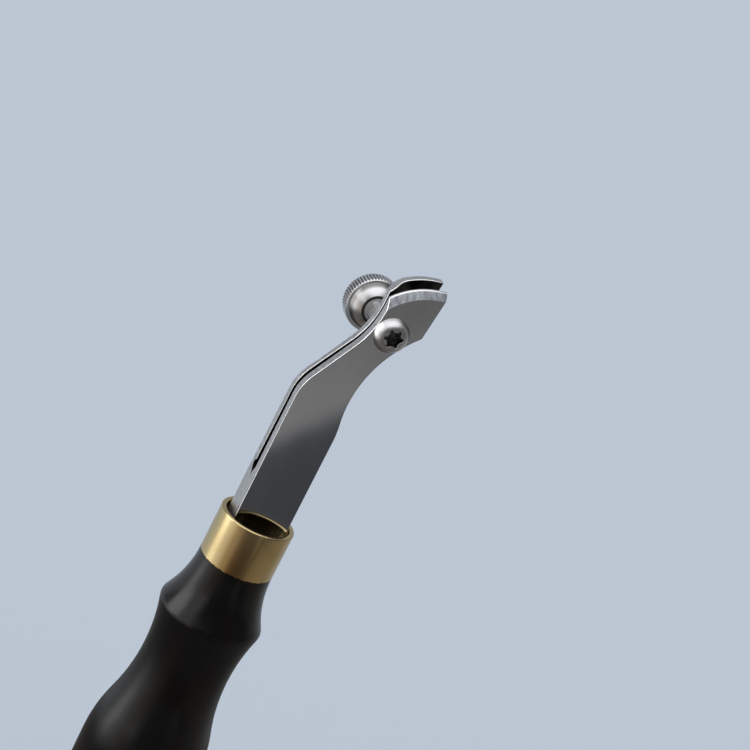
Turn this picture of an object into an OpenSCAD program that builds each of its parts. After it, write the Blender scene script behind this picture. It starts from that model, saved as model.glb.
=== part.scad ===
// Leather line scriber: turned handle, ferrule, slit steel head, clamping screw and thumb nut.
// The butt stands on z = 0, the handle's axis is Z, the beak leans to +X and the front face looks to -Y.

/* [Handle] */
// Height of the shoulder that the ferrule stands on
handle_l = 91; // [84:1:120]
// Radius at the crest of the bead under the neck
bead_r = 10.5; // [9.8:0.1:11.5]
// How far the bead's crest lies below the shoulder
bead_drop = 12; // [10:0.5:14]
// Rounding of the bead's crest
bead_round = 1.6; // [1:0.1:3]
// Radius of the waist, the thinnest place of the hold
waist_r = 9; // [8.4:0.1:9.4]
// How far the waist lies below the shoulder
waist_drop = 23.5; // [22:0.5:26]
// Largest radius of the hold
grip_r = 12.4; // [11.5:0.1:13.5]
// How far the largest radius lies below the shoulder
grip_drop = 46; // [42:1:50]
// Radius of the long curve from the hold down to the butt
tail_round = 290; // [240:10:400]
// Rounding between that curve and the flat butt
butt_round = 3; // [2:0.5:4]

/* [Ferrule] */
// Outer radius of the ferrule
ferrule_r = 7.5; // [7.2:0.1:8]
// Wall of the ferrule
ferrule_wall = 1; // [0.8:0.1:1.1]
// Length of the ferrule
ferrule_l = 10; // [8:0.5:14]
// How far the wood ends below the ferrule's rim
wood_drop = 2.5; // [2:0.25:4]

/* [Steel head] */
// Width of the bar
bar_w = 10.8; // [10:0.1:11]
// Thickness of the bar
bar_t = 5.3; // [5:0.1:5.6]
// Thickness of the front tine, which stays put
front_t = 1.95; // [1.8:0.05:2.1]
// Width of the slit as it is cut
slit_w = 1.6; // [1.5:0.05:1.7]
// Height above the ferrule's rim where the left edge starts to lean
lean_rise = 28.9; // [27:0.1:31]
// Angle of the leaning neck
neck_lean = 30; // [27:0.5:33]
// Rounding of the shoulder where the lean starts
shoulder_round = 10; // [6:0.5:12]
// Distance of the beak's back edge from the handle's axis
beak_back = 3; // [2.5:0.1:3.4]
// Rounding of the crook between the leaning neck and the beak's back
crook_round = 18; // [12:1:20]
// Radius of the beak's top edge
beak_round = 14.5; // [13.5:0.25:15.5]
// How far past the tip the middle of that curve lies
beak_ahead = 0.75; // [0.5:0.05:1]
// Distance of the beak's tip from the handle's axis
tip_x = 12.9; // [12.4:0.1:13.4]
// Height of the beak's top above the ferrule's rim
tip_rise = 54.6; // [53:0.2:58]
// Slope of the beak's straight end
end_lean = 6.2; // [4:0.2:9]
// Radius of the hollow curve under the neck
belly_round = 23.4; // [20:0.2:26]
// Height above the rim where the hollow curve bites deepest
belly_rise = 28.2; // [27:0.2:30]
// Depth of that bite at the waist of the neck
belly_bite = 0.7; // [0.4:0.1:1]
// Rounding where the bar's right edge runs into that curve
belly_lead = 20; // [16:1:24]
// Width of the bevel on the front tine's top edge
bevel_w = 1.35; // [0.8:0.05:1.6]
// Length of the tang in the handle
tang_l = 42; // [30:1:50]
// Width of the tang where it leaves the shank
tang_w = 7; // [6:0.25:8]
// Width of the tang at its end
tang_tip_w = 4.7; // [4:0.1:5.5]
// Thickness of the tang
tang_t = 3.8; // [3.4:0.1:4.2]

/* [Spring tine] */
// Lean of the spring tine towards the front tine as it stands
tine_set = 1.3; // [1.1:0.05:1.5]
// Step back of the spring tine's end, past the screw
step_h = 2.6; // [2.4:0.1:2.7]
// Slope of that step
step_angle = 45; // [42:1:48]
// Inner radius of the step's two bends
step_bend = 2.2; // [1.6:0.1:2.6]
// Distance of the step's start from the edge of the nut's nose
step_gap = 0.25; // [0.2:0.05:0.5]
// Slope left in the tip past the step
tip_flare = 3; // [1:0.5:4]
// How much further than the front tine the spring tine's top edge reaches
tine_over = 0.5; // [0.2:0.1:0.7]
// Height of the flexing root above the ferrule's rim
root_rise = 10; // [9:0.25:12]

/* [Screw and nut] */
// Diameter of the screw
screw_d = 4; // [3.8:0.1:4.2]
// Length of the screw under its head
screw_l = 20; // [19:0.5:22]
// Radius of the button head
head_r = 3.45; // [3.3:0.05:3.6]
// Height of the button head
head_h = 2.1; // [1.8:0.1:2.4]
// Radius of the recess without its lobes
recess_r = 1.38; // [1.2:0.02:1.5]
// Radius of each of the recess's six lobes
lobe_r = 0.45; // [0.35:0.05:0.5]
// Depth of the recess
recess_depth = 1.3; // [1:0.1:1.5]
// Turn of the recess about the screw
recess_turn = 10; // [0:5:55]
// Distance of the screw from the handle's axis
screw_x = 6.1; // [6:0.05:6.4]
// Height of the screw above the ferrule's rim
screw_rise = 43.7; // [43.2:0.1:44.2]
// Outer radius of the nut's knurled rim
nut_r = 5.6; // [5:0.1:5.8]
// Height of the knurled rim
rim_h = 3.3; // [2.8:0.1:3.6]
// Height of the nut's domed nose
nose_h = 2.15; // [1.8:0.05:2.4]
// Radius of the nose's flat end
nose_r = 2.95; // [2.8:0.05:3.1]
// Width of the flat ring between the dome and the rim's edge
ring_w = 0.75; // [0.6:0.05:0.9]
// Number of knurls
knurls = 56; // [40:2:64]
// Depth of the knurls
knurl_depth = 0.28; // [0.2:0.02:0.34]
// Chamfer of the rim's two edges
knurl_chamfer = 0.35; // [0.3:0.05:0.45]
// Distance of the nut's nose from the middle of the bar, as it stands
nut_stand = 9.15; // [9:0.05:9.6]

/* [Hidden] */
$fn = 96;
// Sliding fit of the nut and of the bar on the screw
run_gap = 0.04;
// Gap between glued or driven pieces
seat_gap = 0.02;
// Gap in the round seat of the flexing root
root_gap = 0.03;
// Room round the screw in the spring tine
tine_gap = 0.3;
// Cutters reach this far past what they cut
over = 1;
// Curves that meet smoothly cross by this much, so that no sliver is left between them
blend = 0.002;
// Rounding of the ferrule's rim
rim_round = 0.35;
// Edge left flat above the bevel
bevel_land = 0.4;
// Chamfer at the screw's end
screw_tip = 0.5;
// Radius of the round seat, as a share of the spring tine's thickness
seat_share = 0.86;
// Radius of the hole at the slit's root, as a share of the slit's width
relief_share = 0.65;
// Where that hole lies across the slit, from the front tine's side
relief_place = 0.68;

rim_z = handle_l + ferrule_l;
wood_z = rim_z - wood_drop;
bead_z = handle_l - bead_drop;
waist_z = handle_l - waist_drop;
grip_z = handle_l - grip_drop;
// Each of the handle's curves meets the next one without a corner
cove_round = join_sum(bead_r - ferrule_r, bead_drop) - bead_round;
waist_round = join_sum(bead_r - waist_r, waist_drop - bead_drop) - bead_round;
bead_high = bead_z + bead_round * bead_drop / (cove_round + bead_round);
bead_low = bead_z - bead_round * (waist_drop - bead_drop) / (waist_round + bead_round);
hold_sum = join_sum(grip_r - waist_r, grip_drop - waist_drop);
grip_round = hold_sum - waist_round;
hold_z = waist_z - (grip_drop - waist_drop) * waist_round / hold_sum;
butt_z = butt_round * (1 - (grip_z - butt_round) / (tail_round - butt_round));
butt_r = grip_r - tail_round + sqrt(pow(tail_round - butt_round, 2) - pow(grip_z - butt_round, 2));

front_y = -bar_t / 2;
slit_y = front_y + front_t;
tine_y = slit_y + slit_w;
tine_t = bar_t / 2 - tine_y;
root_y = tine_y + tine_t / 2;
root_r = seat_share * tine_t;
relief_r = relief_share * slit_w;
relief_y = slit_y + relief_place * slit_w;
relief_drop = 2 * relief_r;
crook_rise = lean_rise + (beak_back + bar_w / 2) / tan(neck_lean);
beak_x = tip_x + beak_ahead;
beak_rise = tip_rise - beak_round;
beak_lean = atan2(tip_x - screw_x, tip_rise - screw_rise);
// The step starts just clear of the nut's nose, counted along the beak from the ferrule's rim
step_start = screw_x * sin(beak_lean) + screw_rise * cos(beak_lean) + nose_r + step_gap;
step_outer = step_bend + tine_t;
step_ramp = (step_h - step_outer * (1 - cos(step_angle)) - step_bend * (cos(tip_flare) - cos(step_angle)))
            / sin(step_angle);
// Directions in the spring tine's long section: up the step's ramp, and square to it towards the front
ramp_way = [sin(step_angle), cos(step_angle)];
ramp_side = [-cos(step_angle), sin(step_angle)];
// Middles of the step's two bends in that section
first_bend = [tine_y + step_outer, step_start];
second_bend = first_bend + (step_outer + step_bend) * ramp_side + step_ramp * ramp_way;

screw_r = screw_d / 2;
crown_round = (head_r * head_r + head_h * head_h) / (2 * head_h);
dome_r = nut_r - ring_w;
dome_round = sqrt(pow(dome_r, 2) + pow(dome_centre() - nose_h, 2));

// Sum of the radii of a hollow and a round curve that meet smoothly, from their step and their distance
function join_sum(step, along) = (step * step + along * along) / (2 * step);

// Height of the centre of the nut's dome above its nose, from the two circles that the dome runs through
function dome_centre() = (dome_r * dome_r - nose_r * nose_r + nose_h * nose_h) / (2 * nose_h);

// Half of the handle's section, butt at the bottom
module handle_section() {
    tenon_r = ferrule_r - ferrule_wall - seat_gap;
    difference() {
        translate([0, grip_z]) square([grip_r, handle_l - grip_z]);
        translate([ferrule_r + cove_round, handle_l]) circle(cove_round);
        translate([waist_r + waist_round, waist_z]) circle(waist_round);
        translate([waist_r - over, grip_z - over]) square([grip_r, hold_z - grip_z + over]);
        translate([bead_r - bead_round, bead_low]) square([grip_r, bead_high - bead_low]);
    }
    translate([bead_r - bead_round, bead_z]) circle(bead_round + blend);
    intersection() {
        translate([grip_r - grip_round, grip_z]) circle(grip_round + blend);
        translate([0, grip_z - over]) square([grip_r + over, hold_z - grip_z + 2 * over]);
    }
    intersection() {
        translate([grip_r - tail_round, grip_z]) circle(tail_round, $fn = 720);
        translate([0, butt_z]) square([grip_r + over, grip_z - butt_z]);
    }
    intersection() {
        translate([butt_r, butt_round]) circle(butt_round + blend);
        square([grip_r, butt_round]);
    }
    square([butt_r, grip_z]);
    translate([0, bead_z]) square([tenon_r, wood_z - bead_z]);
}

module handle() {
    color("#1d1614") difference() {
        rotate_extrude() handle_section();
        tang(seat_gap);
    }
}

// Tapered tang, grown by a gap to cut its own bed
module tang(gap) {
    translate([0, tang_t / 2 + gap, wood_z]) rotate([90, 0, 0]) linear_extrude(tang_t + 2 * gap)
        polygon([
            [-tang_w / 2 - gap, gap],
            [-tang_tip_w / 2 - gap, -tang_l - gap],
            [tang_tip_w / 2 + gap, -tang_l - gap],
            [tang_w / 2 + gap, gap],
        ]);
}

module ferrule() {
    inner_r = ferrule_r - ferrule_wall;
    color("#b8923f") translate([0, 0, handle_l]) rotate_extrude() {
        translate([inner_r, 0]) square([ferrule_wall, ferrule_l - rim_round]);
        translate([inner_r + rim_round, 0]) square([ferrule_wall - 2 * rim_round, ferrule_l]);
        translate([inner_r + rim_round, ferrule_l - rim_round]) circle(rim_round);
        translate([ferrule_r - rim_round, ferrule_l - rim_round]) circle(rim_round);
    }
}

// Side view of the steel head, from its seat on the wood up to the beak; grow lifts the beak's top edge
module head_outline(grow) {
    shoulder_run = shoulder_round * tan(neck_lean / 2);
    crook_run = crook_round * tan(neck_lean / 2);
    along = [sin(neck_lean), cos(neck_lean)];
    shoulder = [-bar_w / 2, lean_rise];
    crook = [beak_back, crook_rise];
    belly_x = bar_w / 2 - belly_bite + belly_round;
    lead_sum = belly_round + belly_lead;
    lead_drop = sqrt(belly_bite * (2 * lead_sum - belly_bite));
    lead_z = belly_rise - lead_drop;
    end_low = belly_rise + belly_round / 2;
    difference() {
        union() {
            polygon([
                [-bar_w / 2, -wood_drop],
                [bar_w / 2, -wood_drop],
                [bar_w / 2, belly_rise],
                [tip_x - (tip_rise - end_low) * tan(end_lean), end_low],
                [tip_x + grow * tan(end_lean), tip_rise + grow],
                [beak_back, tip_rise + grow],
                crook,
                shoulder,
            ]);
            difference() {
                polygon([crook, crook + [0, crook_run], crook - crook_run * along]);
                translate(crook + [-crook_round, crook_run]) circle(crook_round + blend);
            }
        }
        difference() {
            polygon([shoulder - [over, 0], shoulder - [over, shoulder_run], shoulder - [0, shoulder_run],
                     shoulder + shoulder_run * along, shoulder + shoulder_run * along - [over, 0]]);
            translate(shoulder + [shoulder_round, -shoulder_run]) circle(shoulder_round + blend);
        }
        difference() {
            translate([beak_back - over, beak_rise])
                square([beak_x - beak_back + over, beak_round + grow + over]);
            translate([beak_x, beak_rise]) circle(beak_round + grow);
        }
        difference() {
            translate([bar_w / 2 - belly_bite, lead_z])
                square([belly_bite + over, belly_lead * lead_drop / lead_sum]);
            translate([bar_w / 2 - belly_lead, lead_z]) circle(belly_lead + blend);
        }
        translate([belly_x, belly_rise]) circle(belly_round);
    }
}

// Slab of the head's outline between two depths
module head_slab(from_y, to_y, grow = 0) {
    translate([0, to_y, 0]) rotate([90, 0, 0]) linear_extrude(to_y - from_y) head_outline(grow);
}

// Round bar along X at a depth and a height, across the whole head
module cross_bar(y, z, r) {
    translate([-bar_w, y, z]) rotate([0, 90, 0]) cylinder(r = r, h = 2 * bar_w);
}

// Round bar along Y on the screw's axis
module screw_bar(from_y, to_y, r) {
    translate([screw_x, to_y, screw_rise]) rotate([90, 0, 0]) cylinder(r = r, h = to_y - from_y);
}

// Relief at the slit's root: a round hole with a tail that runs out to a point
module root_relief() {
    cross_bar(relief_y, root_rise, relief_r);
    translate([-bar_w, 0, 0]) rotate([90, 0, 90]) linear_extrude(2 * bar_w) polygon([
        [relief_y - relief_r, root_rise],
        [slit_y + slit_w / 2, root_rise - relief_drop],
        [relief_y + relief_r, root_rise],
    ]);
}

// The bar with its tang and the front tine
module blade() {
    color("#9a9b9d") {
        translate([0, 0, rim_z]) difference() {
            head_slab(front_y, bar_t / 2);
            translate([-bar_w, slit_y, root_rise]) cube([3 * bar_w, bar_t, tip_rise]);
            cross_bar(root_y, root_rise, root_r + root_gap);
            root_relief();
            screw_bar(front_y - over, bar_t, screw_r + run_gap);
            difference() {
                translate([beak_back - over, front_y - over, beak_rise])
                    cube([tip_x - beak_back + 2 * over, front_t - bevel_land + over, beak_round + over]);
                translate([beak_x, front_y + front_t - bevel_land, beak_rise]) rotate([90, 0, 0])
                    cylinder(r1 = beak_round, r2 = beak_round - bevel_w, h = front_t - bevel_land);
            }
        }
        tang(0);
    }
}

// Room on one side of a long line of the spring tine, with sharp corners at its two bends of these radii
module line_room(first_r, second_r, far) {
    first = first_bend + first_r * [-1, tan(step_angle / 2)];
    second = second_bend + second_r * (tan((step_angle - tip_flare) / 2) * ramp_way - ramp_side);
    end = second + beak_round * [sin(tip_flare), cos(tip_flare)];
    polygon([
        [first[0], -tip_rise - over],
        first,
        second,
        end,
        [far, end[1]],
        [far, -tip_rise - over],
    ]);
}

// What lies outside a bend's circle between the directions of its ends, up to a reach along the depth
module bend_corner(centre, low, high, r, reach) {
    difference() {
        polygon([
            centre + r * low,
            centre + r * low + [reach, 0],
            centre + r * high + [reach, 0],
            centre + r * high,
        ]);
        translate(centre) circle(r + blend);
    }
}

module first_corner(r) {
    bend_corner(first_bend, [-1, 0], ramp_side, r, -over);
}

module second_corner(r) {
    bend_corner(second_bend, -ramp_side, [cos(tip_flare), -sin(tip_flare)], r, over);
}

// Long section of the spring tine: flat, bent back, ramp, bent nearly straight again
module tine_section() {
    difference() {
        translate([tine_y - over, -tip_rise]) square([3 * bar_t, 2 * tip_rise]);
        difference() {
            line_room(step_outer, step_bend, -4 * bar_t);
            second_corner(step_bend);
        }
        first_corner(step_outer);
        difference() {
            line_room(step_bend, step_outer, 4 * bar_t);
            first_corner(step_bend);
        }
        second_corner(step_outer);
    }
}

// The slit's rear half, which springs; it flexes about the round seat at its root
module spring_tine() {
    color("#a5a6a8") translate([0, 0, rim_z]) difference() {
        translate([0, root_y, root_rise]) rotate([tine_set, 0, 0]) translate([0, -root_y, -root_rise])
            difference() {
                intersection() {
                    head_slab(slit_y, 3 * bar_t, tine_over);
                    rotate([0, beak_lean, 0]) translate([-tip_rise, 0, 0]) rotate([90, 0, 90])
                        linear_extrude(2 * tip_rise) tine_section();
                }
                difference() {
                    translate([-bar_w, -bar_t, -bar_t]) cube([2 * bar_w, 3 * bar_t, root_rise + bar_t]);
                    cross_bar(root_y, root_rise, root_r);
                }
                cross_bar(relief_y, root_rise, relief_r);
            }
        screw_bar(-bar_t, 2 * bar_t, screw_r + tine_gap);
    }
}

// Button head with a six-lobed recess, plain shank
module screw() {
    color("#b9babc") translate([screw_x, front_y, rim_z + screw_rise]) {
        difference() {
            rotate([90, 0, 0]) rotate_extrude() intersection() {
                translate([0, head_h - crown_round]) circle(crown_round);
                square(head_r + over);
            }
            translate([0, recess_depth - head_h, 0]) rotate([90, 0, 0]) linear_extrude(head_h) {
                circle(recess_r);
                for (i = [0:5]) rotate(recess_turn + 60 * i) translate([recess_r, 0]) circle(lobe_r);
            }
        }
        rotate([-90, 0, 0]) cylinder(r = screw_r, h = screw_l - screw_tip);
        translate([0, screw_l - screw_tip, 0]) rotate([-90, 0, 0])
            cylinder(r1 = screw_r, r2 = screw_r - screw_tip, h = screw_tip);
    }
}

// Star of V grooves round the nut's rim
module knurl_section() {
    polygon([
        for (i = [0 : 2 * knurls - 1])
            let (r = i % 2 == 0 ? nut_r : nut_r - knurl_depth)
            [r * cos(180 * i / knurls), r * sin(180 * i / knurls)]
    ]);
}

// Knurled rim with a domed nose, turned on the screw's axis; its nose looks to -Y
module thumb_nut() {
    nut_h = nose_h + rim_h;
    color("#b4b5b7") translate([screw_x, nut_stand, rim_z + screw_rise]) rotate([-90, 0, 0]) difference() {
        union() {
            intersection() {
                translate([0, 0, nose_h]) linear_extrude(rim_h) knurl_section();
                rotate_extrude() polygon([
                    [0, nose_h - over],
                    [nut_r - knurl_chamfer - over, nose_h - over],
                    [nut_r + over, nose_h + knurl_chamfer + over],
                    [nut_r + over, nut_h - knurl_chamfer - over],
                    [nut_r - knurl_chamfer - over, nut_h + over],
                    [0, nut_h + over],
                ]);
            }
            rotate_extrude() intersection() {
                translate([0, dome_centre()]) circle(dome_round);
                square([nut_r, nose_h + knurl_chamfer]);
            }
        }
        translate([0, 0, -over]) cylinder(r = screw_r + run_gap, h = nut_h + 2 * over);
    }
}

handle();
ferrule();
blade();
spring_tine();
screw();
thumb_nut();
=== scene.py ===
# %% [markdown]
# # A leather line scriber, dressed
#
# The tool is a slit steel head in a ferruled, turned handle. A screw and a knurled
# thumb nut set how far the two tines stand apart. Its solids come packed as a fixed
# frame; this lesson gives them their finishes and adds the detail that a solid model
# leaves out: broken edges, a cut thread and surface wear.
# The frame comes first, because every piece is placed by it and rides on its bodies.

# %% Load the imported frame
import math

import bpy
import bmesh
import mathutils
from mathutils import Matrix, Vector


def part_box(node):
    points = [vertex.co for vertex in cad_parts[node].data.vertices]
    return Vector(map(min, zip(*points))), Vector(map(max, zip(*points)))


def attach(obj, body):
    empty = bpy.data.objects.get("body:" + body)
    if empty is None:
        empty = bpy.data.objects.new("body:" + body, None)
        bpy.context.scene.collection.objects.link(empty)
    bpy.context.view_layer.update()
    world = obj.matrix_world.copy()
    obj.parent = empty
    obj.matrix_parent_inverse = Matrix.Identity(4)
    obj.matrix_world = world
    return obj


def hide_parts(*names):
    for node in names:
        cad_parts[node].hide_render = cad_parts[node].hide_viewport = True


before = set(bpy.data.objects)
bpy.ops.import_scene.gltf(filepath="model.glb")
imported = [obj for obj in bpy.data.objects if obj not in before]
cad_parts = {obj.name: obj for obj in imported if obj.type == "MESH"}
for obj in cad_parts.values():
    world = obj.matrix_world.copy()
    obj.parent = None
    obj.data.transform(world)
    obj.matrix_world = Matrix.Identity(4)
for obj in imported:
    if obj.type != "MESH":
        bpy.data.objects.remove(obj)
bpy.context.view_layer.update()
MM = 0.001
print("nodes:", sorted(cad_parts))

# %% [markdown]
# ## Camera
#
# The picture is taken with a long lens from a little above the tool's front face, and
# the camera is rolled, so the upright tool leans across the frame. The camera is
# placed by numbers, and not by a constraint, so that it is the same on every run.

# %% Place the camera
CAMERA_PLACE = (-0.117476, -0.293776, 0.232238)
CAMERA_TURN = (71.2226, -25.9702, -14.6390)
LENS_MM = 86.4
SENSOR_MM = 36.0
CLIP_START = 0.01

bpy.ops.object.select_all(action="DESELECT")
bpy.ops.object.camera_add(
    location=CAMERA_PLACE, rotation=[math.radians(a) for a in CAMERA_TURN]
)
camera = bpy.context.object
camera.name = "picture_camera"
camera.data.lens = LENS_MM
camera.data.sensor_width = SENSOR_MM
camera.data.clip_start = CLIP_START
bpy.context.scene.camera = camera
print("camera at", [round(v, 3) for v in camera.location])

# %% [markdown]
# ## Helpers for finishes
#
# Every finish below is a small tree of nodes: a noise chooses between tones, and the
# place or the direction of the surface chooses between finishes. Each helper adds one
# such step, so that a finish reads as a short list.

# %% Node helpers
def add_node(tree, kind, **settings):
    """Adds a node and sets its properties, or its input sockets by name."""
    node = tree.nodes.new(kind)
    for key, value in settings.items():
        if hasattr(node, key):
            setattr(node, key, value)
        else:
            node.inputs[key.replace("_", " ")].default_value = value
    return node


def add_ramp(tree, stops, factor):
    """Adds a colour ramp from (place, colour) pairs; a number is a grey."""
    ramp = tree.nodes.new("ShaderNodeValToRGB")
    elements = ramp.color_ramp.elements
    while len(elements) < len(stops):
        elements.new(1.0)
    for element, (place, tone) in zip(elements, stops):
        element.position = place
        grey = isinstance(tone, (int, float))
        element.color = (tone, tone, tone, 1.0) if grey else (*tone[:3], 1.0)
    tree.links.new(factor, ramp.inputs["Fac"])
    return ramp.outputs["Color"]


def add_math(tree, operation, first, second=None, third=None):
    """Adds a Math node; each operand is a socket or a number."""
    node = tree.nodes.new("ShaderNodeMath")
    node.operation = operation
    for socket, value in zip(node.inputs, (first, second, third)):
        if value is None:
            continue
        if isinstance(value, (int, float)):
            socket.default_value = value
        else:
            tree.links.new(value, socket)
    return node.outputs["Value"]


def vector_math(tree, operation, vector, fixed=(0.0, 0.0, 0.0)):
    """Adds a Vector Math node on a socket and a fixed vector; returns its outputs."""
    node = add_node(tree, "ShaderNodeVectorMath", operation=operation)
    tree.links.new(vector, node.inputs[0])
    node.inputs[1].default_value = fixed
    return node.outputs


def add_dot(tree, vector, direction):
    """Adds the dot product of a vector socket and a fixed direction."""
    return vector_math(tree, "DOT_PRODUCT", vector, direction)["Value"]


def split_vector(tree, vector):
    """Splits a vector socket; returns the outputs X, Y and Z."""
    node = add_node(tree, "ShaderNodeSeparateXYZ")
    tree.links.new(vector, node.inputs["Vector"])
    return node.outputs


def mix_colour(tree, factor, first, second):
    """Adds a colour Mix node; each operand is a socket, a number or a colour."""
    node = tree.nodes.new("ShaderNodeMix")
    node.data_type = "RGBA"
    colour_sockets = [s for s in node.inputs if s.type == "RGBA"]
    sockets = (node.inputs[0], colour_sockets[0], colour_sockets[1])
    for socket, value in zip(sockets, (factor, first, second)):
        if hasattr(value, "is_linked"):
            tree.links.new(value, socket)
        elif socket.type == "RGBA" and isinstance(value, (int, float)):
            socket.default_value = (value, value, value, 1.0)
        else:
            socket.default_value = value
    return [s for s in node.outputs if s.type == "RGBA"][0]


def add_range(tree, value, low, high):
    """Adds a smooth step from 0 to 1 while the value goes from low to high."""
    node = add_node(tree, "ShaderNodeMapRange", interpolation_type="SMOOTHSTEP")
    node.inputs["From Min"].default_value = low
    node.inputs["From Max"].default_value = high
    tree.links.new(value, node.inputs["Value"])
    return node.outputs["Result"]


def mix_by_ray(tree, ray, others, chosen):
    """Mixes two shaders: the second one is for rays of the named kind only."""
    mix = add_node(tree, "ShaderNodeMixShader")
    tree.links.new(add_node(tree, "ShaderNodeLightPath").outputs[ray], mix.inputs[0])
    tree.links.new(others, mix.inputs[1])
    tree.links.new(chosen, mix.inputs[2])
    return mix.outputs["Shader"]


print("node helpers ready")

# %% [markdown]
# ## Backdrop and floor
#
# The tool stands on a plain pale floor. Polished metal has no colour of its own to
# show: it shows what stands round it. A product photographer lays bright and dark
# cards on the table for that. Here the floor paints these reflections itself and glows
# with them for glossy rays only, though it is no lamp: a painted white card to the left,
# painted brown and dark ones in front, of which one ends along a slanting line, and the
# pale floor behind.

# %% Tones of the floor
BACKDROP = (0.494, 0.554, 0.632, 1.0)
FLOOR_SIZE = 60
# The ramps of painted reflection go round the tool from its left through the front, the right and
# the back
# Tones of the painted reflections that the floor shows in the metal
LEFT = [(0.0, 1.05), (0.02, 0.86), (0.055, (0.66, 0.63, 0.58)), (0.085, (0.42, 0.36, 0.29))]
BACK = [
    (0.50, (0.26, 0.25, 0.225)),
    (0.56, (0.32, 0.33, 0.35)),
    (0.64, (0.36, 0.39, 0.43)),
    (0.78, (0.43, 0.475, 0.535)),
    (0.86, (0.53, 0.58, 0.62)),
    (0.91, (0.68, 0.72, 0.74)),
]
BROWN_FRONT = [
    (0.12, (0.33, 0.26, 0.195)),
    (0.155, (0.13, 0.085, 0.055)),
    (0.20, (0.060, 0.036, 0.024)),
    (0.25, (0.060, 0.042, 0.028)),
    (0.29, (0.095, 0.075, 0.052)),
    (0.33, (0.20, 0.17, 0.13)),
    (0.42, (0.235, 0.205, 0.165)),
]
DARK_FRONT = [
    (0.12, 0.26),
    (0.17, 0.13),
    (0.22, (0.078, 0.083, 0.093)),
    (0.345, (0.078, 0.083, 0.093)),
    (0.40, 0.18),
]
PALE_FRONT = [
    (0.12, 0.26), (0.17, 0.15), (0.255, 0.13), (0.295, 0.30), (0.36, 0.29), (0.41, 0.20)
]
DIM_FRONT = [
    (0.12, 0.26), (0.17, 0.14), (0.255, 0.12), (0.295, 0.20), (0.36, 0.19), (0.41, 0.19)
]
WHITE_NEAR = [(0.945, 1.28), (0.985, 1.32), (1.0, 1.05)]
WHITE_FAR = [(0.935, 1.5), (0.955, 2.2), (0.98, 2.0), (1.0, 1.05)]
FOOT_TONE = (0.13, 0.125, 0.12, 1.0)
# Distances from the tool, in metres, over which one ring of tones gives way to the next
FOOT_TO_NEAR = (0.10, 0.22)
NEAR_TO_FAR = (0.225, 0.26)
PALE_TO_DIM = (0.36, 0.60)
# The slanting line where the painted dark reflection ends: the way it looks, and its soft edge
DARK_REFLECTION_EDGE_LOOKS = (-0.796, -0.605, 0.0)
DARK_REFLECTION_EDGE = (0.0888, 0.0998)
print("front tones:", [len(f) for f in (BROWN_FRONT, DARK_FRONT, PALE_FRONT, DIM_FRONT)])

# %% Lay the floor
bpy.ops.object.select_all(action="DESELECT")
bpy.ops.mesh.primitive_plane_add(size=FLOOR_SIZE)
floor = bpy.context.object
floor.name = "floor"

floor_paint = bpy.data.materials.new("pale_floor")
floor_paint.use_nodes = True
tree = floor_paint.node_tree
tree.nodes.clear()
spot = add_node(tree, "ShaderNodeTexCoord").outputs["Object"]
turn = add_node(tree, "ShaderNodeTexGradient", gradient_type="RADIAL")
tree.links.new(spot, turn.inputs["Vector"])


def ring_of(front, white):
    """Adds a ramp of tones round the tool, with its own front and white card."""
    return add_ramp(tree, LEFT + front + BACK + white, turn.outputs["Fac"])


reach = vector_math(tree, "LENGTH", spot)["Value"]
to_dim = add_range(tree, reach, *PALE_TO_DIM)
pale = mix_colour(tree, to_dim, ring_of(PALE_FRONT, WHITE_FAR), ring_of(DIM_FRONT, WHITE_FAR))
past_edge = add_range(tree, add_dot(tree, spot, DARK_REFLECTION_EDGE_LOOKS), *DARK_REFLECTION_EDGE)
far = mix_colour(tree, past_edge, ring_of(DARK_FRONT, WHITE_FAR), pale)
near = ring_of(BROWN_FRONT, WHITE_NEAR)
seen = mix_colour(tree, add_range(tree, reach, *NEAR_TO_FAR), near, far)
seen = mix_colour(tree, add_range(tree, reach, *FOOT_TO_NEAR), FOOT_TONE, seen)
# Painted reflections: the floor glows with these tones for glossy rays only, though it is no lamp
painted_reflection_glow = add_node(tree, "ShaderNodeEmission")
tree.links.new(seen, painted_reflection_glow.inputs["Color"])
matt = add_node(tree, "ShaderNodeBsdfDiffuse", Color=BACKDROP)
floor_out = add_node(tree, "ShaderNodeOutputMaterial")
tree.links.new(
    mix_by_ray(tree, "Is Glossy Ray", matt.outputs["BSDF"], painted_reflection_glow.outputs["Emission"]),
    floor_out.inputs["Surface"],
)
floor.data.materials.append(floor_paint)
print("floor laid, tones round it:", len(LEFT + BROWN_FRONT + BACK + WHITE_NEAR))

# %% [markdown]
# ## Light
#
# One big cloth lamp hangs above the tool, a little to the front and left, and a window
# stands on the left, which puts the streak of light on the handle. Both are painted on
# the world as bright patches with soft edges, so that their reflections in round metal
# have no corners, as those of bare area lamps would. The white card on the left reaches
# a little above the floor. Away from them the room is dim in front and on the right,
# and pale behind. A weak sun with a wide disc adds the soft shadow.

# %% Set the world
LAMP_WAY = (-0.30, -0.10, 0.949)
# Tones of the room from the front to the back
ROOM = [(0.0, 0.09), (0.35, 0.11), (0.5, 0.20), (0.75, 0.30), (1.0, (0.35, 0.385, 0.43))]
# Card, window and lamp: the way to each, its soft edge as a dot product, and its tone
PATCHES = [
    ((-0.95, -0.30, 0.08), (0.80, 0.96), (0.90, 0.90, 0.91, 1.0)),
    ((-0.965, 0.165, 0.205), (0.925, 0.985), (2.8, 2.8, 2.87, 1.0)),
    (LAMP_WAY, (0.55, 0.92), (1.25, 1.25, 1.27, 1.0)),
]

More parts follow.
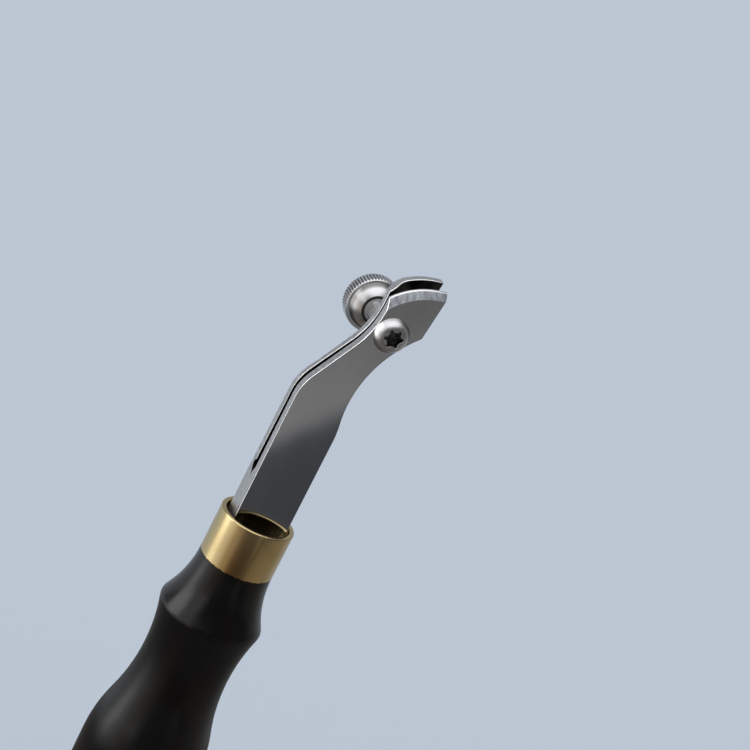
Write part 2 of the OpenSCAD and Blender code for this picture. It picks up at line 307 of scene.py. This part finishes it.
world = bpy.data.worlds.new("studio")
bpy.context.scene.world = world
world.use_nodes = True
tree = world.node_tree
tree.nodes.clear()
way = add_node(tree, "ShaderNodeTexCoord").outputs["Generated"]
depth = add_math(tree, "MULTIPLY_ADD", split_vector(tree, way)["Y"], 0.5, 0.5)
glow = add_ramp(tree, ROOM, depth)
for patch_way, soft_edge, patch_tone in PATCHES:
    in_patch = add_range(tree, add_dot(tree, way, patch_way), *soft_edge)
    glow = mix_colour(tree, in_patch, glow, patch_tone)
light_part = add_node(tree, "ShaderNodeBackground")
tree.links.new(glow, light_part.inputs["Color"])
seen_part = add_node(tree, "ShaderNodeBackground", Color=BACKDROP)
world_out = add_node(tree, "ShaderNodeOutputWorld")
tree.links.new(
    mix_by_ray(
        tree, "Is Camera Ray", light_part.outputs["Background"], seen_part.outputs["Background"]
    ),
    world_out.inputs["Surface"],
)
print("world set, lamp towards", LAMP_WAY)

# %% Add the soft sun
SUN_STRENGTH = 1.0
SUN_DISC = math.radians(30)

bpy.ops.object.select_all(action="DESELECT")
bpy.ops.object.light_add(type="SUN", location=LAMP_WAY)
sun = bpy.context.object
sun.name = "soft_sun"
sun.data.energy = SUN_STRENGTH
sun.data.angle = SUN_DISC
sun.rotation_euler = (-mathutils.Vector(LAMP_WAY)).to_track_quat("-Z", "Y").to_euler()
sun.visible_glossy = False
print("sun added, strength", sun.data.energy)

# %% [markdown]
# ## Ebony
#
# The handle is close-grained black wood, oiled and rubbed. It is nearly black, with a
# breath of brown where the grain opens, and its gloss is broken by fine pores that
# run along the handle. Noise that is stretched along Z gives both.

# %% Ebony on the handle
def new_material(name, metallic=0.0):
    """Makes a material with a plain Principled shader; returns it, its tree and shader."""
    material = bpy.data.materials.new(name)
    material.use_nodes = True
    tree = material.node_tree
    shader = tree.nodes["Principled BSDF"]
    shader.inputs["Metallic"].default_value = metallic
    return material, tree, shader


def plug(tree, shader, tone, gloss):
    """Links a tone and a gloss to a shader's colour and roughness."""
    tree.links.new(tone, shader.inputs["Base Color"])
    tree.links.new(gloss, shader.inputs["Roughness"])


def stretched_noise(tree, scale, stretch, detail):
    """Adds noise on Object coordinates, stretched by a vector."""
    place = add_node(tree, "ShaderNodeTexCoord").outputs["Object"]
    mapping = add_node(tree, "ShaderNodeMapping", Scale=stretch)
    tree.links.new(place, mapping.inputs["Vector"])
    noise = add_node(tree, "ShaderNodeTexNoise", Scale=scale, Detail=detail)
    tree.links.new(mapping.outputs["Vector"], noise.inputs["Vector"])
    return noise.outputs["Fac"]


def two_tones(tree, factor, first, second):
    """Adds a ramp between two tones over the middle of a noise's range."""
    return add_ramp(tree, [(0.3, first), (0.7, second)], factor)


def add_bump(tree, shader, height, strength, distance):
    """Adds a bump of a height socket to the shader's normal."""
    bump = add_node(tree, "ShaderNodeBump", Strength=strength, Distance=distance)
    tree.links.new(height, bump.inputs["Height"])
    tree.links.new(bump.outputs["Normal"], shader.inputs["Normal"])


def dress(node_name, material):
    """Gives a CAD node a material in place of its own."""
    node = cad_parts[node_name]
    node.data.materials.clear()
    node.data.materials.append(material)


EBONY_SHINE = 0.43
EBONY_TONES = [
    (0.35, (0.0015, 0.0012, 0.0012)),
    (0.62, (0.0034, 0.0020, 0.0017)),
    (0.8, (0.0080, 0.0042, 0.0032)),
]

ebony, tree, shader = new_material("ebony")
shader.inputs["Specular IOR Level"].default_value = EBONY_SHINE
grain = stretched_noise(tree, scale=260.0, stretch=(1.0, 1.0, 0.05), detail=6.0)
rub = stretched_noise(tree, scale=70.0, stretch=(1.0, 1.0, 0.5), detail=3.0)
plug(tree, shader, add_ramp(tree, EBONY_TONES, grain), two_tones(tree, rub, 0.19, 0.26))
pores = stretched_noise(tree, scale=1500.0, stretch=(1.0, 1.0, 0.04), detail=2.0)
add_bump(tree, shader, pores, strength=0.15, distance=0.1 * MM)
dress("handle", ebony)
print("handle dressed in", ebony.name)

# %% [markdown]
# ## Brass
#
# The ferrule is a short piece of brass tube, polished on a lathe. Its polish left
# very fine rings round it, and handling has dulled it in patches. A noise that
# depends on height alone gives rings. Black finish from the wood clings to the tube's
# lower edge in a ragged line, which is a step in height that another noise shifts.

# %% Brass on the ferrule
def ring_noise(tree, axis, scale):
    """Adds noise that changes along one axis only, as turning marks do."""
    place = add_node(tree, "ShaderNodeTexCoord").outputs["Object"]
    noise = add_node(
        tree, "ShaderNodeTexNoise", noise_dimensions="1D", Scale=scale, Detail=3.0
    )
    tree.links.new(split_vector(tree, place)[axis], noise.inputs["W"])
    return noise.outputs["Fac"]


FERRULE_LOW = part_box("ferrule")[0].z
RAGGED_RISE = 0.5 * MM
CLEAN_FROM = FERRULE_LOW - 0.2 * MM
CLEAN_TO = FERRULE_LOW + 0.02 * MM
CLINGING_BLACK = (0.035, 0.022, 0.016, 1.0)

brass, tree, shader = new_material("brass", metallic=1.0)
patch = stretched_noise(tree, scale=180.0, stretch=(1.0, 1.0, 0.6), detail=4.0)
tone = two_tones(tree, patch, (0.61, 0.47, 0.235), (0.73, 0.58, 0.31))
add_bump(tree, shader, ring_noise(tree, "Z", 9000.0), strength=0.03, distance=0.1 * MM)
ragged = stretched_noise(tree, scale=1600.0, stretch=(1.0, 1.0, 0.3), detail=2.0)
place = add_node(tree, "ShaderNodeTexCoord").outputs["Object"]
above = add_math(tree, "MULTIPLY_ADD", ragged, -RAGGED_RISE, split_vector(tree, place)["Z"])
clean = add_range(tree, above, CLEAN_FROM, CLEAN_TO)
edged = mix_colour(tree, clean, CLINGING_BLACK, tone)
plug(tree, shader, edged, two_tones(tree, patch, 0.08, 0.13))
dress("ferrule", brass)
print("ferrule dressed in", brass.name)

# %% [markdown]
# ## Steel of the head
#
# The head is filed and ground from bar. Its two broad faces and its broken edges are
# polished, its narrow sides keep a dull ground finish, the bevel on the beak is filed,
# and the walls of the slit are dark, partly with hardening scale and partly as painted
# shade in the slit. The broken edges also get a brighter tone than the faces, a painted
# highlight. The direction of the surface tells polished from ground: the faces look
# along Y, the broken edges slantwise and the sides across Y. The filed bevel and the
# dark walls get finishes of their own.

# %% Polished and ground steel
# How far a surface looks along Y where a broken edge and where a broad face begins
EDGE_TILT = (0.12, 0.34)
BROAD_TILT = (0.88, 0.97)
# Painted highlight: the broken edges get a brighter tone than the polished faces
EDGE_HIGHLIGHT_TONE = 0.90
EDGE_GLOSS = 0.16

steel, tree, shader = new_material("ground_steel", metallic=1.0)
facing = add_node(tree, "ShaderNodeTexCoord").outputs["Normal"]
tilt = add_math(tree, "ABSOLUTE", split_vector(tree, facing)["Y"])
polished = add_range(tree, tilt, *EDGE_TILT)
broad = add_range(tree, tilt, *BROAD_TILT)
cloud = stretched_noise(tree, scale=140.0, stretch=(1.0, 1.0, 0.5), detail=5.0)
grit = stretched_noise(tree, scale=2400.0, stretch=(1.0, 1.0, 0.4), detail=3.0)
face_tone = two_tones(tree, cloud, (0.50, 0.50, 0.51), (0.59, 0.59, 0.595))
side_tone = two_tones(tree, grit, (0.44, 0.44, 0.445), (0.70, 0.70, 0.705))
# Painted highlight: the brighter tone goes on the broken edges
tone = mix_colour(tree, polished, side_tone, EDGE_HIGHLIGHT_TONE)
gloss = mix_colour(tree, polished, two_tones(tree, grit, 0.36, 0.48), EDGE_GLOSS)
plug(
    tree,
    shader,
    mix_colour(tree, broad, tone, face_tone),
    mix_colour(tree, broad, gloss, two_tones(tree, cloud, 0.045, 0.065)),
)
add_bump(tree, shader, grit, strength=0.03, distance=0.02 * MM)
print("steel ready")

# %% Filed bevel and dark walls
# Tones of the dark walls: partly hardening scale, partly painted shade in the slit
SCALE_AND_SHADE_TONES = [(0.35, (0.045, 0.040, 0.036)), (0.75, (0.11, 0.10, 0.092))]

filed, tree, shader = new_material("filed_bevel", metallic=1.0)
strokes = stretched_noise(tree, scale=1500.0, stretch=(1.0, 0.35, 0.35), detail=4.0)
tone = two_tones(tree, strokes, (0.20, 0.21, 0.23), (0.36, 0.38, 0.41))
plug(tree, shader, tone, two_tones(tree, strokes, 0.52, 0.40))
add_bump(tree, shader, strokes, strength=0.12, distance=0.1 * MM)

slit_dark, tree, shader = new_material("hardening_scale_and_painted_shade", metallic=1.0)
scale = stretched_noise(tree, scale=700.0, stretch=(1.0, 1.0, 0.3), detail=5.0)
plug(tree, shader, add_ramp(tree, SCALE_AND_SHADE_TONES, scale), two_tones(tree, scale, 0.30, 0.46))
print("finishes of the head:", steel.name, filed.name, slit_dark.name)

# %% [markdown]
# ## Blade and spring tine
#
# The solids have sharp corners. The real edges are broken with a stone, and each
# catches a thin line of light. A copy of each solid is merged and its flat triangles
# are joined into whole faces. The solids keep a fold of no thickness inside the crook,
# which would spoil the broken edge there, so the copies draw it back to its start.
# A Bevel modifier on every corner would spoil the slit and the screw's hole, so each
# edge is given a weight by its place, and the modifier goes by that: the land on top of
# the beak gets the full width, as honing leaves it, the long edges a little less, and
# the slit and the hole none.
# The spring tine is also filed a little thinner along the neck, so that it gives there.
# It is cut into bands first, because a flat face can't be hollowed.

# %% Copy a solid and break its edges
SCREW_X = 6.1 * MM
SCREW_Z = 144.7 * MM
FOLD_START = (0.72 * MM, 140.5 * MM)
FOLD_END = (3.0 * MM, 144.44 * MM)
FOLD_REACH = 0.1 * MM
SAME_POINT = 0.001 * MM
FLAT_ANGLE = math.radians(0.6)
SHARP_ANGLE = math.radians(25)
SMOOTH_ANGLE = math.radians(30)


def close_fold(piece):
    """Draws the fold of no thickness inside the crook back to its start, in edit mode."""

    def points_at(x, z):
        return [v for v in mesh.verts if math.hypot(v.co.x - x, v.co.z - z) < FOLD_REACH]

    mesh = bmesh.from_edit_mesh(piece.data)
    starts = points_at(*FOLD_START)
    for v in points_at(*FOLD_END):
        v.co = min(starts, key=lambda start: abs(start.co.y - v.co.y)).co
    bmesh.update_edit_mesh(piece.data)


def cut(place, look, **choices):
    """Cuts the whole mesh, in edit mode, by a plane through a place that looks one way."""
    bpy.ops.mesh.select_all(action="SELECT")
    bpy.ops.mesh.bisect(plane_co=place, plane_no=look, **choices)


def node_copy(node_name, piece_name, merge):
    """Makes a piece from a merged copy of a CAD node, cut through the screw's axis."""
    bpy.ops.object.select_all(action="DESELECT")
    piece = bpy.data.objects.new(piece_name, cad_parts[node_name].data.copy())
    bpy.context.scene.collection.objects.link(piece)
    bpy.context.view_layer.objects.active = piece
    piece.select_set(True)
    bpy.ops.object.mode_set(mode="EDIT")
    bpy.ops.mesh.select_all(action="SELECT")
    bpy.ops.mesh.remove_doubles(threshold=merge)
    bpy.ops.mesh.customdata_custom_splitnormals_clear()
    bpy.ops.mesh.dissolve_limited(angle_limit=FLAT_ANGLE)
    close_fold(piece)
    bpy.ops.mesh.select_all(action="SELECT")
    bpy.ops.mesh.remove_doubles(threshold=SAME_POINT)
    cut((SCREW_X, 0, 0), (1, 0, 0))
    bpy.ops.object.mode_set(mode="OBJECT")
    return piece


def screw_distance(point):
    """Distance of a point from the screw's axis."""
    return math.hypot(point.x - SCREW_X, point.z - SCREW_Z)


def bevel_edges(piece, share_of, width, segments):
    """Bevels each sharp edge by its share of the width; returns the number of edges."""
    bpy.ops.object.mode_set(mode="EDIT")
    mesh = bmesh.from_edit_mesh(piece.data)
    layers = mesh.edges.layers.float
    weight = layers.get("bevel_weight_edge") or layers.new("bevel_weight_edge")
    count = 0
    for edge in mesh.edges:
        sharp = edge.calc_face_angle(0.0) > SHARP_ANGLE
        edge[weight] = share_of(edge) if sharp else 0.0
        count += edge[weight] > 0.0
    bmesh.update_edit_mesh(piece.data)
    bpy.ops.object.mode_set(mode="OBJECT")
    broken = piece.modifiers.new("broken_edges", "BEVEL")
    broken.limit_method = "WEIGHT"
    broken.width = width
    broken.segments = segments
    broken.use_clamp_overlap = False
    bpy.ops.object.modifier_apply(modifier=broken.name)
    return count


def settle_normals(piece):
    """Shades a piece smooth up to an angle, with flat faces kept flat."""
    bpy.ops.object.select_all(action="DESELECT")
    bpy.context.view_layer.objects.active = piece
    piece.select_set(True)
    bpy.ops.object.shade_smooth_by_angle(angle=SMOOTH_ANGLE)
    flats = piece.modifiers.new("flat_faces", "WEIGHTED_NORMAL")
    flats.keep_sharp = True
    bpy.ops.object.modifier_apply(modifier=flats.name)


print("screw's axis in mm:", round(SCREW_X / MM, 2), round(SCREW_Z / MM, 2))

# %% Break the edges of the blade
LAND_Y = -1.10 * MM
BEVEL_BACK_Y = -1.2 * MM
SLIT_Y = -0.70 * MM
ROOT_FRONT_Y = -0.75 * MM
HEAD_LOW = 98.0 * MM
ROOT_LOW = 107.5 * MM
ROOT_HIGH = 112.8 * MM
BAR_TOP = 127.0 * MM
NECK_LOW = 133.0 * MM
AT_DEPTH = 0.01 * MM
BLADE_MERGE = 0.06 * MM
BLADE_HOLE = 2.4 * MM
BLADE_BREAK = 0.36 * MM
# Shares of that width: on the land, at the bevel's ends, and on the long edges
# below the neck with what the neck adds
LAND_SHARE = 1.0
BEVEL_END_SHARE = 0.5
LONG_SHARE = 0.28
NECK_SHARE = 0.38


def on_bevel(look, place):
    """True on the filed bevel of the beak, by the direction and the place of a face."""
    faces_up = -0.75 < look.y < -0.55 and look.z > 0.4
    return faces_up and place.y < BEVEL_BACK_Y and place.z > SCREW_Z


def all_at(edge, depth):
    """True for an edge that lies at one depth."""
    return all(abs(v.co.y - depth) < AT_DEPTH for v in edge.verts)


def up_the_neck(edge):
    """Goes from 0 where the bar ends to 1 where the neck leans fully."""
    z = sum(v.co.z for v in edge.verts) / 2
    return min(1.0, max(0.0, (z - BAR_TOP) / (NECK_LOW - BAR_TOP)))


def blade_share(edge):
    """Share of the full width: most on the land, none in the slit, the hole and the root."""
    if all_at(edge, LAND_Y) and edge.verts[0].co.z > SCREW_Z:
        return LAND_SHARE
    others = [f for f in edge.link_faces if not on_bevel(f.normal, f.calc_center_median())]
    if len(others) < 2:
        return BEVEL_END_SHARE if others and abs(others[0].normal.y) < 0.3 else 0.0
    if all_at(edge, SLIT_Y):
        return 0.0
    for v in edge.verts:
        at_root = ROOT_LOW < v.co.z < ROOT_HIGH and v.co.y > ROOT_FRONT_Y
        if v.co.z < HEAD_LOW or screw_distance(v.co) < BLADE_HOLE or at_root:
            return 0.0
    return LONG_SHARE + NECK_SHARE * up_the_neck(edge)


steel_head = node_copy("blade", "steel_head", BLADE_MERGE)
print("blade edges broken:", bevel_edges(steel_head, blade_share, BLADE_BREAK, segments=5))
settle_normals(steel_head)

# %% File the spring tine thinner along the neck
NECK_WAY = mathutils.Vector((0.529, 0.0, 0.849))
FILED_SLIT = 0.15 * MM
FILED_BACK = 0.30 * MM
# Distances along the neck over which the filing sets in and runs out, and its bands in mm
FILED_FROM = (102.0 * MM, 113.0 * MM)
FILED_TO = (113.0 * MM, 124.0 * MM)
BANDS_MM = range(102, 125, 2)
TINE_MERGE = 0.09 * MM
FLAT_LOOK = 0.9


def smooth_step(value, low, high):
    """Goes smoothly from 0 to 1 while the value goes from low to high."""
    share = min(1.0, max(0.0, (value - low) / (high - low)))
    return share * share * (3.0 - 2.0 * share)


def filed_share(point):
    """Share of the full depth that is filed off at a point, counted up the neck."""
    along = point.dot(NECK_WAY)
    return smooth_step(along, *FILED_FROM) * (1.0 - smooth_step(along, *FILED_TO))


rear_tine = node_copy("spring_tine", "rear_tine", TINE_MERGE)
bpy.ops.object.mode_set(mode="EDIT")
for band in BANDS_MM:
    cut(NECK_WAY * band * MM, NECK_WAY)
mesh = bmesh.from_edit_mesh(rear_tine.data)
mesh.normal_update()
slit_side = {v for f in mesh.faces if f.normal.y < -FLAT_LOOK for v in f.verts}
back_side = {v for f in mesh.faces if f.normal.y > FLAT_LOOK for v in f.verts}
for v in slit_side:
    v.co.y += FILED_SLIT * filed_share(v.co)
for v in back_side:
    v.co.y -= FILED_BACK * filed_share(v.co)
bmesh.update_edit_mesh(rear_tine.data)
bpy.ops.object.mode_set(mode="OBJECT")
print("points on the slit side and the back:", len(slit_side), len(back_side))

# %% Break the edges of the spring tine
TINE_BREAK = 0.18 * MM
TINE_HOLE = 2.6 * MM
TINE_LONG_SHARE = 0.4
TINE_NECK_SHARE = 0.6


def tine_share(edge):
    """Share of the full width: from the end of the root up, and none at the screw's hole."""
    off_root = max(v.co.z for v in edge.verts) > ROOT_HIGH
    off_hole = all(screw_distance(v.co) > TINE_HOLE for v in edge.verts)
    if off_root and off_hole:
        return TINE_LONG_SHARE + TINE_NECK_SHARE * up_the_neck(edge)
    return 0.0


print("tine edges broken:", bevel_edges(rear_tine, tine_share, TINE_BREAK, segments=4))
settle_normals(rear_tine)

# %% Give each surface of the two tines its finish
IN_SLIT = 0.05 * MM


def finish_of(piece, face):
    """Slot of a face: 0 polished or ground, 1 the filed bevel, 2 the slit's dark walls."""
    look, place = face.normal, face.center
    # Painted shade: the faces in the slit's root get the dark finish
    in_root = ROOT_LOW < place.z < ROOT_HIGH
    if in_root and abs(look.x) < 0.3 and abs(look.y) < FLAT_LOOK:
        return 2
    if piece is steel_head:
        in_slit = look.y > 0.95 and abs(place.y - SLIT_Y) < IN_SLIT
        return 1 if on_bevel(look, place) else 2 if in_slit else 0
    # The tine's step also gets the dark finish, as painted shade
    on_step = look.y < -0.6 and look.x > 0.1 and look.z > 0.15
    return 2 if look.y < -0.96 or on_step else 0


for piece, node_name, body in ((steel_head, "blade", "tool"), (rear_tine, "spring_tine", "tine")):
    piece.data.materials.clear()
    for finish in (steel, filed, slit_dark):
        piece.data.materials.append(finish)
    for face in piece.data.polygons:
        face.material_index = finish_of(piece, face)
    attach(piece, body)
    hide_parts(node_name)
    print(piece.name, "has", len(piece.data.polygons), "faces")

# %% [markdown]
# ## Screw and nut
#
# Both are turned from bright steel. The nut's knurled rim and domed nose are in the
# solid already, so the nut keeps its solid and gets a finish, with painted shade in the
# bottom of the knurls and in the corner round the dome. The end of its nose is painted
# with a bright inner ring as a highlight and a dark ring round that as shade.
# The screw's solid has a smooth shank, and the real one has a thread. The head is cut
# from a copy of the solid, and its crown is pressed flatter in the middle, as a button
# head's is, which leaves a bright ring at its edge. The thread is one pitch of its
# outline, carried round and along the axis by a Screw modifier, which gives a true
# helix. The walls and the bottom of the recess in the head get a dark finish of their
# own, a painted shade for the deep recess.

# %% Bright steel and the dark recess
EVEN = (1.0, 1.0, 1.0)
SCREW_GLOSS = (0.26, 0.34)
RECESS_SHADE_TONES = [(0.35, (0.035, 0.033, 0.030)), (0.75, (0.16, 0.155, 0.15))]


def bright_steel(name, gloss_range):
    """Makes turned bright steel; returns its material, tree, shader, tone and gloss."""
    material, tree, shader = new_material(name, metallic=1.0)
    cloud = stretched_noise(tree, scale=300.0, stretch=EVEN, detail=4.0)
    tone = two_tones(tree, cloud, (0.68, 0.68, 0.685), (0.80, 0.80, 0.805))
    gloss = two_tones(tree, cloud, *gloss_range)
    plug(tree, shader, tone, gloss)
    add_bump(tree, shader, ring_noise(tree, "Y", 6000.0), strength=0.04, distance=0.1 * MM)
    return material, tree, shader, tone, gloss


bright = bright_steel("bright_steel", SCREW_GLOSS)[0]

# Painted shade: a dark finish for the walls and the bottom of the recess
recess_shade, tree, shader = new_material("recess_painted_shade", metallic=1.0)
recess_grain = stretched_noise(tree, scale=1800.0, stretch=EVEN, detail=4.0)
plug(tree, shader, add_ramp(tree, RECESS_SHADE_TONES, recess_grain), two_tones(tree, recess_grain, 0.45, 0.30))
print("finishes for the screw:", bright.name, recess_shade.name)

# %% Knurled steel on the nut
NUT_GLOSS = (0.20, 0.28)
# Distances from the axis over which one finish gives way to the next
KNURL_CREST = (5.34 * MM, 5.56 * MM)
DOME_CORNER_SHADE = (4.05 * MM, 4.6 * MM)
PAST_DOME = (4.85 * MM, 4.95 * MM)
PAST_NOSE_HIGHLIGHT = (2.35 * MM, 2.45 * MM)
PAST_NOSE = (2.93 * MM, 3.07 * MM)
# How far a surface looks along Y where an end face and where a flat ring begins
END_TILT = (0.35, 0.6)
RING_TILT = (0.75, 0.9)
# Painted shade in the bottom of the knurls and in the corner round the dome
CREVICE_SHADE_TONE = (0.24, 0.235, 0.23, 1.0)
# Painted highlight and shade on the nose's end: a bright inner ring and a dark ring round it
NOSE_HIGHLIGHT_TONE = 0.90
NOSE_SHADE_TONE = (0.10, 0.10, 0.098, 1.0)
NOSE_GLOSS = 0.55

knurled, tree, shader, tone, gloss = bright_steel("knurled_steel", NUT_GLOSS)
coords = add_node(tree, "ShaderNodeTexCoord").outputs
from_axis = vector_math(tree, "SUBTRACT", coords["Object"], (SCREW_X, 0.0, SCREW_Z))["Vector"]
across = vector_math(tree, "MULTIPLY", from_axis, (1.0, 0.0, 1.0))["Vector"]
radius = vector_math(tree, "LENGTH", across)["Value"]
tilt = add_math(tree, "ABSOLUTE", split_vector(tree, coords["Normal"])["Y"])
on_crest = add_range(tree, radius, *KNURL_CREST)
off_knurls = add_math(tree, "MAXIMUM", on_crest, add_range(tree, tilt, *END_TILT))
up_dome = add_math(tree, "SUBTRACT", 1.0, add_range(tree, radius, *DOME_CORNER_SHADE))
on_ring = add_range(tree, tilt, *RING_TILT)
off_dome = add_math(tree, "MAXIMUM", on_ring, add_range(tree, radius, *PAST_DOME))
off_corner = add_math(tree, "MAXIMUM", up_dome, off_dome)
clean = add_math(tree, "MULTIPLY", off_knurls, off_corner)
# Painted shade: darker in the bottoms of the knurls and in the corner round the dome
crevice_shaded = mix_colour(tree, clean, CREVICE_SHADE_TONE, tone)
# Painted highlight and painted shade on the end of the nose
nose_tone = mix_colour(tree, add_range(tree, radius, *PAST_NOSE_HIGHLIGHT), NOSE_HIGHLIGHT_TONE, NOSE_SHADE_TONE)
past_nose = add_range(tree, radius, *PAST_NOSE)
plug(
    tree,
    shader,
    mix_colour(tree, past_nose, nose_tone, crevice_shaded),
    mix_colour(tree, past_nose, NOSE_GLOSS, gloss),
)
dress("thumb_nut", knurled)
print("nut dressed in", knurled.name)

# %% Cut the head from the solid
HEAD_SEAT = -2.65 * MM
STUB = 0.3 * MM
SCREW_MERGE = 0.002 * MM

screw_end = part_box("screw")[1].y
clamp_screw = node_copy("screw", "clamp_screw", SCREW_MERGE)
bpy.ops.object.mode_set(mode="EDIT")
cut((0, HEAD_SEAT + STUB, 0), (0, 1, 0), use_fill=True, clear_outer=True)
bpy.ops.object.mode_set(mode="OBJECT")
print("head cut, faces:", len(clamp_screw.data.polygons))

# %% Flatten the crown
HEAD_R = 3.45 * MM
CROWN_H = 1.85 * MM
CROWN_POWER = 5
# The solid's own crown, and the depths of the rings that are cut into it
SOLID_CROWN_H = 2.1 * MM
CROWN_ROUND = 3.884 * MM
CROWN_CENTRE = mathutils.Vector((SCREW_X, HEAD_SEAT - SOLID_CROWN_H + CROWN_ROUND, SCREW_Z))
CROWN_SLACK = 0.05 * MM
RINGS_MM = (4.20, 4.0, 3.75, 3.5, 3.27, 3.07, 2.86)


def crown_y(point):
    """Depth of the crown at a point: flat in the middle, steep at the edge."""
    share = min(screw_distance(point), HEAD_R) / HEAD_R
    return HEAD_SEAT - CROWN_H * (1.0 - share**CROWN_POWER)


bpy.ops.object.mode_set(mode="EDIT")
for ring in RINGS_MM:
    cut((0, -ring * MM, 0), (0, 1, 0))
mesh = bmesh.from_edit_mesh(clamp_screw.data)
crown = [
    v for v in mesh.verts if abs((v.co - CROWN_CENTRE).length - CROWN_ROUND) < CROWN_SLACK
]
for v in crown:
    v.co.y = crown_y(v.co)
bmesh.update_edit_mesh(clamp_screw.data)
bpy.ops.object.mode_set(mode="OBJECT")
print("points on the crown:", len(crown))

# %% Break the rim of the recess
RECESS_R = 1.95 * MM
RIM_BREAK = 0.15 * MM
BOTTOM_FROM = HEAD_SEAT - 1.2 * MM
BOTTOM_TO = HEAD_SEAT - 0.2 * MM


def rim_share(edge):
    """Breaks the rim of the recess, where it opens in the crown."""
    on_crown = all(abs(v.co.y - crown_y(v.co)) < AT_DEPTH for v in edge.verts)
    near_axis = all(screw_distance(v.co) < RECESS_R for v in edge.verts)
    return 1.0 if on_crown and near_axis else 0.0


def in_recess(face):
    """True for the walls and the bottom of the recess."""
    if screw_distance(face.center) >= RECESS_R:
        return False
    wall = abs(face.normal.y) < 0.4 and face.center.y < HEAD_SEAT
    bottom = abs(face.normal.y) > 0.95 and BOTTOM_FROM < face.center.y < BOTTOM_TO
    return wall or bottom


print("rim edges broken:", bevel_edges(clamp_screw, rim_share, RIM_BREAK, segments=3))
clamp_screw.data.materials.clear()
clamp_screw.data.materials.append(bright)
clamp_screw.data.materials.append(recess_shade)
recess_faces = [face for face in clamp_screw.data.polygons if in_recess(face)]
# Painted shade: the recess faces get the dark finish
for face in recess_faces:
    face.material_index = 1
print("recess faces:", len(recess_faces))

# %% Draw one pitch of the thread
PITCH = 0.7 * MM
CREST_R = 1.99 * MM
THREAD_DEPTH = 0.42 * MM
# The points between the ends, as shares of the pitch and the depth: where each one is
# found, how far it moves out and how far along. One ends the root, two hold the crest.
THREAD_POINTS = (
    (0.2, 0.3, 0.0, -0.107),
    (0.45, 0.55, 1.0, 0.0),
    (0.7, 0.8, 1.0, -0.107),
)

bpy.ops.object.select_all(action="DESELECT")
bpy.ops.mesh.primitive_plane_add(size=PITCH)
thread = bpy.context.object
thread.name = "thread"


def select_points(piece, wanted):
    """Selects, in edit mode, the points that pass the test."""
    bpy.ops.mesh.select_mode(type="VERT")
    bpy.ops.mesh.select_all(action="DESELECT")
    mesh = bmesh.from_edit_mesh(piece.data)
    for v in mesh.verts:
        if wanted(v.co):
            v.select_set(True)
    bmesh.update_edit_mesh(piece.data)


bpy.ops.object.mode_set(mode="EDIT")
select_points(thread, lambda co: co.x < 0)
bpy.ops.mesh.delete(type="VERT")
bpy.ops.mesh.select_all(action="SELECT")
bpy.ops.transform.translate(value=(CREST_R - THREAD_DEPTH - PITCH / 2, PITCH / 2, 0))
bpy.ops.mesh.subdivide(number_cuts=len(THREAD_POINTS))
for low, high, out, along in THREAD_POINTS:
    select_points(
        thread,
        lambda co: low * PITCH < co.y < high * PITCH and co.x < CREST_R - THREAD_DEPTH / 2,
    )
    bpy.ops.transform.translate(value=(out * THREAD_DEPTH, along * PITCH, 0))
bpy.ops.object.mode_set(mode="OBJECT")
print("points in one pitch:", len(thread.data.vertices))

# %% Wind the thread and join it to the head
SHANK_LOW = HEAD_SEAT + 0.1 * MM
TURN_STEPS = 36
SPARE_TURNS = 3
LEAD_IN = 1.2 * PITCH
# The screw's end is drawn in three times, from these distances before it
TIP_CUTS_MM = (0.5, 0.32, 0.16)
TIP_DRAW = 0.93

wind = thread.modifiers.new("wind", "SCREW")
wind.axis = "Y"
wind.screw_offset = PITCH
wind.iterations = int((screw_end - SHANK_LOW) / PITCH) + SPARE_TURNS
wind.steps = TURN_STEPS
wind.render_steps = TURN_STEPS
wind.use_smooth_shade = True
bpy.ops.object.modifier_apply(modifier=wind.name)
bpy.ops.object.mode_set(mode="EDIT")
bpy.ops.mesh.select_all(action="SELECT")
bpy.ops.mesh.remove_doubles(threshold=SAME_POINT)
bpy.ops.transform.translate(value=(SCREW_X, SHANK_LOW - LEAD_IN, SCREW_Z))
cut((0, SHANK_LOW, 0), (0, 1, 0), use_fill=True, clear_inner=True)
cut((0, screw_end, 0), (0, 1, 0), use_fill=True, clear_outer=True)
bpy.ops.mesh.select_all(action="SELECT")
bpy.ops.mesh.normals_make_consistent(inside=False)
for cut_back in TIP_CUTS_MM:
    select_points(thread, lambda co: co.y > screw_end - cut_back * MM)
    bpy.ops.transform.resize(
        value=(TIP_DRAW, 1.0, TIP_DRAW), center_override=(SCREW_X, screw_end, SCREW_Z)
    )
bpy.ops.object.mode_set(mode="OBJECT")
thread.data.materials.clear()
thread.data.materials.append(bright)
settle_normals(thread)
settle_normals(clamp_screw)
bpy.ops.object.select_all(action="DESELECT")
thread.select_set(True)
clamp_screw.select_set(True)
bpy.context.view_layer.objects.active = clamp_screw
bpy.ops.object.join()
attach(clamp_screw, "screw")
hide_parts("screw")
print("clamp_screw has", len(clamp_screw.data.polygons), "faces")

# %% [markdown]
# ## Finish
#
# The view transform stays plain.

# %% Set the view transform
bpy.context.scene.view_settings.view_transform = "Standard"
